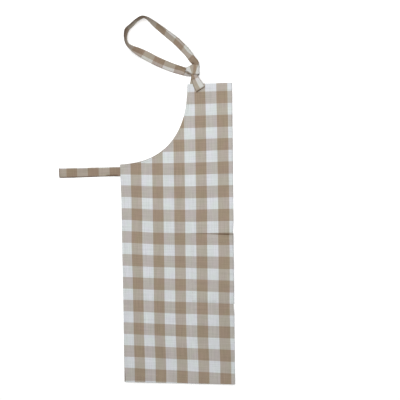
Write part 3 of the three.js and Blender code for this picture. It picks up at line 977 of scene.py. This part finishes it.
# How deep the folds are in the rising straps and in the wraps, how finely rows are filled in, and
# over which part of a row a strap's direction is taken
RISING_BUNCH, WRAP_BUNCH = 0.35, 0.2
STEPS_PER_ROW, NUDGE = 14, 0.01

# A strap's section, across it from -1 to 1: points on a face, how square the faces' crown is, the
# place of the sewn edge's stitches, how deep and wide they dent it, and the turns and the start of
# the folds of a bunched strap
SECTION_POINTS = 18
CROWN = 5
SEAM_PLACE = -0.86
STRAP_DENT, STRAP_DENT_WIDTH = 0.22, 0.05
BUNCH_TURNS, BUNCH_START = 2.6, 0.7

# The share of a strap's face that its tan stripe covers, from the sewn edge
STRAP_TAN_SHARE = 0.7
STRAP_PATTERN = WARP_TAN - STRAP_TAN_SHARE * STRAP_WIDTH

# How much painted shade each kind of strap takes at its sewn edge and at its folded edge, which lie
# in shade, how much darker it is all over, and how much painted shade a strap takes where it stands
# in the loop's bend and at its end
NECK_SHADES = (0.6, 0.45, 0)
TIE_SHADES = (0.85, 0, 0.07)
BEND_SHADE = 0.45
END_SHADE = 0.7

# From where to where those shades set in: across the strap, by its lean, and before its end, where
# the last seam runs
SEAM_BAND, FOLD_BAND, BEND_BAND = (0.88, 0.97), (0.74, 0.93), (-0.3, 0.4)
STANDING = (50, 85)
END_BAND = (-4, -1.5)
STRAP_END_SEAM = 3

# Painted shade along lines on the straps, standing in for the shade in the knot's creases and along
# the strands' and ties' edges: where each line starts and ends, from the knot, how far the shade
# reaches to both sides, all in strap widths, and how dark it is. The first eight lie in the knot,
# and the others along the loop's strands and the ties' lower edge.
PAINTED_STRAP_SHADES = [
    (-1.95, 0.66, -1.02, 0.19, 0.08, 0.6),
    (-1.02, 0.19, -1.22, -0.23, 0.08, 0.6),
    (-0.87, -0.17, -0.47, -0.69, 0.12, 0.6),
    (-0.39, -0.57, -0.42, -0.98, 0.07, 0.6),
    (-0.12, -0.88, -0.06, -0.95, 0.08, 0.4),
    (0.5, -0.69, 1.1, -1.7, 0.06, 0.5),
    (1.0, -1.9, 0.17, -2.32, 0.1, 0.8),
    (-0.33, 0.84, -0.16, 0.8, 0.1, 0.7),
    (-7, 2.5, -1.9, 0.3, 0.8, 0.18),
    (-10.5, -11.5, -9.3, -11.5, 0.12, 0.9),
    (-8, 3.3, -6.3, 2.3, 0.5, 0.3),
    (-5.1, 6.1, -3.3, 4.8, 0.25, 0.35),
    (-1.5, -0.35, -0.75, -0.45, 0.15, 0.5),
]


def painted_line_shade(rings):
    """How dark the painted shade along those lines makes each point."""
    place = (rings[..., :2] - (KNOT_X, KNOT_Y)) / STRAP_WIDTH
    shade = np.zeros(place.shape[:2])
    for from_x, from_y, to_x, to_y, reach, dark in PAINTED_STRAP_SHADES:
        start = np.array([from_x, from_y])
        way = np.array([to_x, to_y]) - start
        share = np.clip((place - start) @ way / (way @ way), 0, 1)
        away = np.linalg.norm(place - start - share[..., None] * way, axis=-1)
        shade = np.maximum(shade, dark * np.exp(-((away / reach) ** 2)))
    return shade


def between(rows, place):
    """The rows' values at a place between them, on a smooth curve through all of them."""
    last = len(rows) - 1
    index = np.clip(np.floor(place).astype(int), 0, last - 1)
    t = (place - index)[:, None]
    before, here, after, beyond = [rows[np.clip(index + k, 0, last)] for k in (-1, 0, 1, 2)]
    slope_here, slope_after = (after - before) / 2, (beyond - here) / 2
    lift = 3 * (after - here) - 2 * slope_here - slope_after
    curl = slope_here + slope_after - 2 * (after - here)
    return here + t * (slope_here + t * (lift + t * curl))


def unit(vectors):
    """The same ways, each with length 1."""
    return vectors / np.linalg.norm(vectors, axis=1)[:, None]


def strap_lines(rows):
    """Along a strap: its middle, the ways across and out of its face, and its other values."""
    rows = np.array(rows, float)
    last = len(rows) - 1
    place = np.linspace(0, last, last * STEPS_PER_ROW + 1)
    values = between(rows, place)
    middle = values[:, X:Z + 1].copy()
    ahead = between(rows, np.minimum(place + NUDGE, last))
    behind = between(rows, np.maximum(place - NUDGE, 0))
    forward = unit((ahead - behind)[:, X:Z + 1])
    across, lean = np.radians(values[:, ACROSS]), np.radians(values[:, LEAN])
    side = np.stack([
        np.cos(across) * np.cos(lean), np.sin(across) * np.cos(lean), np.sin(lean),
    ], axis=1)
    side = unit(side - forward * np.sum(side * forward, axis=1)[:, None])
    out = np.cross(forward, side)
    dip = np.abs(side[:, 2]) * values[:, WIDTH] / 2 + np.abs(out[:, 2]) * values[:, THICK] / 2
    middle[:, Z] = np.maximum(middle[:, Z], dip)
    steps_along = np.linalg.norm(np.diff(middle, axis=0), axis=1)
    along = np.concatenate([[0], np.cumsum(steps_along)])
    return middle, side, out, values, along


def strap_piece(name, rows, start, flat_width, shades):
    """A flat tube of cloth: two faces a little crowned, one folded edge and one closed with a
    row of stitches, bunched lengthwise where the rows say. start says where along the weave it
    begins, and shades how much painted shade its edges take and how much darker all of it is.
    Returns it and its stitches."""
    middle, side, out, values, along = strap_lines(rows)
    seam_shade, fold_shade, base_shade = shades
    across = np.cos(np.pi * np.arange(SECTION_POINTS) / (SECTION_POINTS - 1))
    crown = (1 - np.abs(across) ** CROWN) ** 0.5
    dent = STRAP_DENT * np.exp(-(((across - SEAM_PLACE) / STRAP_DENT_WIDTH) ** 2))
    folds = np.cos(across * BUNCH_TURNS * math.pi + BUNCH_START) * values[:, BUNCH, None]
    standing = smooth(values[:, LEAN], *STANDING)[:, None]
    at_end = smooth(along - along[-1], *END_BAND)[:, None]
    v = np.repeat((along + values[:, GATHERED] + start)[:, None], SECTION_POINTS, axis=1)
    rings, cloth, shade = [], [], []
    for face in (-1, 1):
        order = slice(None, None, -face)
        place = across[None, order]
        span = place * values[:, WIDTH, None] / 2
        height = face * values[:, THICK, None] / 2 * (crown - dent)[None, order]
        height = (height + folds[:, order])[..., None]
        rings.append(middle[:, None] + side[:, None] * span[..., None] + out[:, None] * height)
        share = (place + 1) / 2 if face < 0 else 2 - (place + 1) / 2
        u = share * flat_width + STRAP_PATTERN + values[:, ROLL, None]
        cloth.append(np.dstack([u, v, np.zeros_like(u)]))
        at_seam = smooth(-place, *SEAM_BAND) * seam_shade
        at_fold = smooth(place, *FOLD_BAND) * fold_shade
        at_bend = smooth(place, *BEND_BAND) * standing * BEND_SHADE
        shade.append(np.maximum(np.maximum(at_seam, at_fold + at_bend), at_end * END_SHADE))
    rings = np.concatenate(rings, axis=1)
    cloth = np.concatenate(cloth, axis=1)
    shade = np.maximum(np.concatenate(shade, axis=1), painted_line_shade(rings)) + base_shade
    piece = new_piece(name + "_cloth", rings, cloth, np.clip(shade, 0, 1), strap_cotton)

    column = int(np.argmin(np.abs(across - SEAM_PLACE)))
    end_row = int(np.argmin(np.abs(along - along[-1] + STRAP_END_SEAM)))
    lines = [
        (rings[:end_row, column], -out[:end_row]),
        (rings[:end_row, 2 * SECTION_POINTS - 1 - column], out[:end_row]),
        (rings[end_row, 1:column], -out[end_row]),
    ]
    return piece, sewn_lines(name + "_stitches", lines)


def in_stack(floor, layer):
    """The height of the middle of a strap that lies in this layer of a stack on the floor."""
    return floor + STRAP_THICKNESS / 2 + SEAM_PITCH * layer


def rising_rows(table, seam_layer):
    """A strap's rows from its seam, where it lies in the stack, up into the knot's layers."""
    in_seam = in_stack(SEAM_FLOOR, seam_layer)
    seam_y = BODY_LENGTH - SEAM_OVERLAP
    rows = [(STRAP_SEAM_X, seam_y, in_seam, 0, 0, STRAP_WIDTH, STRAP_THICKNESS, 0, 0, 0)]
    for up, layer, width, thick in table:
        in_knot = KNOT_PITCH * (layer + 0.5)
        share = float(smooth(up, 0, IN_KNOT))
        rows.append((
            STRAP_SEAM_X + KNOT_SHIFT * min(up, 1), BODY_LENGTH + KNOT_RISE * up,
            in_seam + (in_knot - in_seam) * share, 0, 0,
            width * STRAP_WIDTH, thick * STRAP_THICKNESS, 0, 0, RISING_BUNCH * min(up, 1),
        ))
    return rows


def resting_height(width, lean):
    """The height of the middle of a leaning strap whose lower edge is just above the table."""
    angle = math.radians(lean)
    return (width * math.sin(angle) + STRAP_THICKNESS * math.cos(angle)) / 2 + CLEARANCE


def neck_strap_rows():
    """The long strap's rows: up from the rear bib corner, round the loop, and into the knot."""
    rows = rising_rows(REAR_RISE, 0)
    for x, y, across, lean, width, roll in LOOP:
        wide = width * STRAP_WIDTH
        rows.append((
            KNOT_X + x * LOOP_REACH, KNOT_Y + y * LOOP_RISE, resting_height(wide, lean),
            across, lean, wide, STRAP_THICKNESS, roll, 0, 0,
        ))
    for x, y, layer, width, across, roll, gathered in WRAP:
        rows.append((
            KNOT_X + x * STRAP_WIDTH, KNOT_Y + y * STRAP_WIDTH, KNOT_PITCH * (layer + 0.5),
            across, 0, width * STRAP_WIDTH, STRAP_THICKNESS, roll, gathered, WRAP_BUNCH,
        ))
    return rows


def tie_rows(layer, drop):
    """A tie's rows from its seam out to its end. drop is how far its end lies lower."""
    seam_z, table_z = in_stack(SEAM_FLOOR, layer), in_stack(0, layer)
    return [
        (
            -SKIRT_HALF_WIDTH - out,
            TIE_Y - (TIE_DIP + drop) * float(smooth(out, 0, TIE_LENGTH)),
            table_z + (seam_z - table_z) * share,
            90, 0, TIE_WIDTH, STRAP_THICKNESS, TIE_ROLL, 0, 0,
        )
        for out, share in TIE_FALL
    ]


neck_strap = strap_piece("neck_strap", neck_strap_rows(), 0, STRAP_WIDTH, NECK_SHADES)
short_strap = strap_piece(
    "short_strap", rising_rows(FRONT_RISE, 1), SHORT_START, STRAP_WIDTH, NECK_SHADES
)
upper_tie = strap_piece("upper_tie", tie_rows(1, 0), TIE_START, TIE_WIDTH, TIE_SHADES)
lower_tie = strap_piece("lower_tie", tie_rows(0, TIE_STEP), TIE_START, TIE_WIDTH, TIE_SHADES)


# Riding and replacing

# Cloth and its stitches, the node that the cloth stands for, the record's slot, the flat width
# and length in metres, how it is held, the flat area where it isn't a rectangle, and what it
# lies on
CLOTH_PIECES = [
    ((apron_cloth, apron_stitches), "apron_body", "gingham_cotton",
     (0.647, 0.848), "folded", 0.475, []),
    ((pocket_cloth, pocket_stitches), "pocket", "pocket_cotton",
     (0.246, 0.2), "folded", None, [apron_cloth]),
    (neck_strap, "neck_strap", "strap_cotton", (0.025, 0.69), "folded", None, [apron_cloth]),
    (short_strap, "neck_strap_short", "strap_cotton",
     (0.025, 0.065), "laid", None, [apron_cloth]),
    (upper_tie, "waist_tie_upper", "strap_cotton", (0.026, 0.209), "laid", None, [lower_tie[0]]),
    (lower_tie, "waist_tie_lower", "strap_cotton", (0.026, 0.209), "laid", None, []),
]
for (piece, stitches), node, slot_name, flat, held, area, carriers in CLOTH_PIECES:
    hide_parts(node)
    for part in (piece, stitches):
        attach(part, "root")


# Floor and light

floor_mesh = bpy.data.meshes.new("floor")
corners = [(-1, -1, 0), (1, -1, 0), (1, 1, 0), (-1, 1, 0)]
floor_mesh.from_pydata([Vector(corner) * FLOOR_HALF for corner in corners], [], [(0, 1, 2, 3)])
floor = placed("floor", floor_mesh)
floor_colour = (FLOOR_TONE, FLOOR_TONE, FLOOR_TONE, 1)
floor_paper, _ = new_material("matt_white_paper", Roughness=1.0, Base_Color=floor_colour)
floor_mesh.materials.append(floor_paper)

world = bpy.data.worlds.new("studio")
bpy.context.scene.world = world
world.use_nodes = True
background = world.node_tree.nodes["Background"]
background.inputs["Color"].default_value = (1, 1, 1, 1)
background.inputs["Strength"].default_value = WORLD_LIGHT

softbox = placed("softbox", bpy.data.lights.new("softbox", "AREA"))
softbox.data.shape = "RECTANGLE"
softbox.data.size = SOFTBOX_SIZE
softbox.data.size_y = SOFTBOX_SIZE
softbox.data.energy = SOFTBOX_POWER
softbox_place = Vector(SOFTBOX_PLACE)
aimed = (-softbox_place).to_track_quat("-Z", "Y").to_matrix().to_4x4()
softbox.matrix_world = Matrix.Translation(softbox_place) @ aimed

bpy.context.scene.view_settings.view_transform = "Standard"
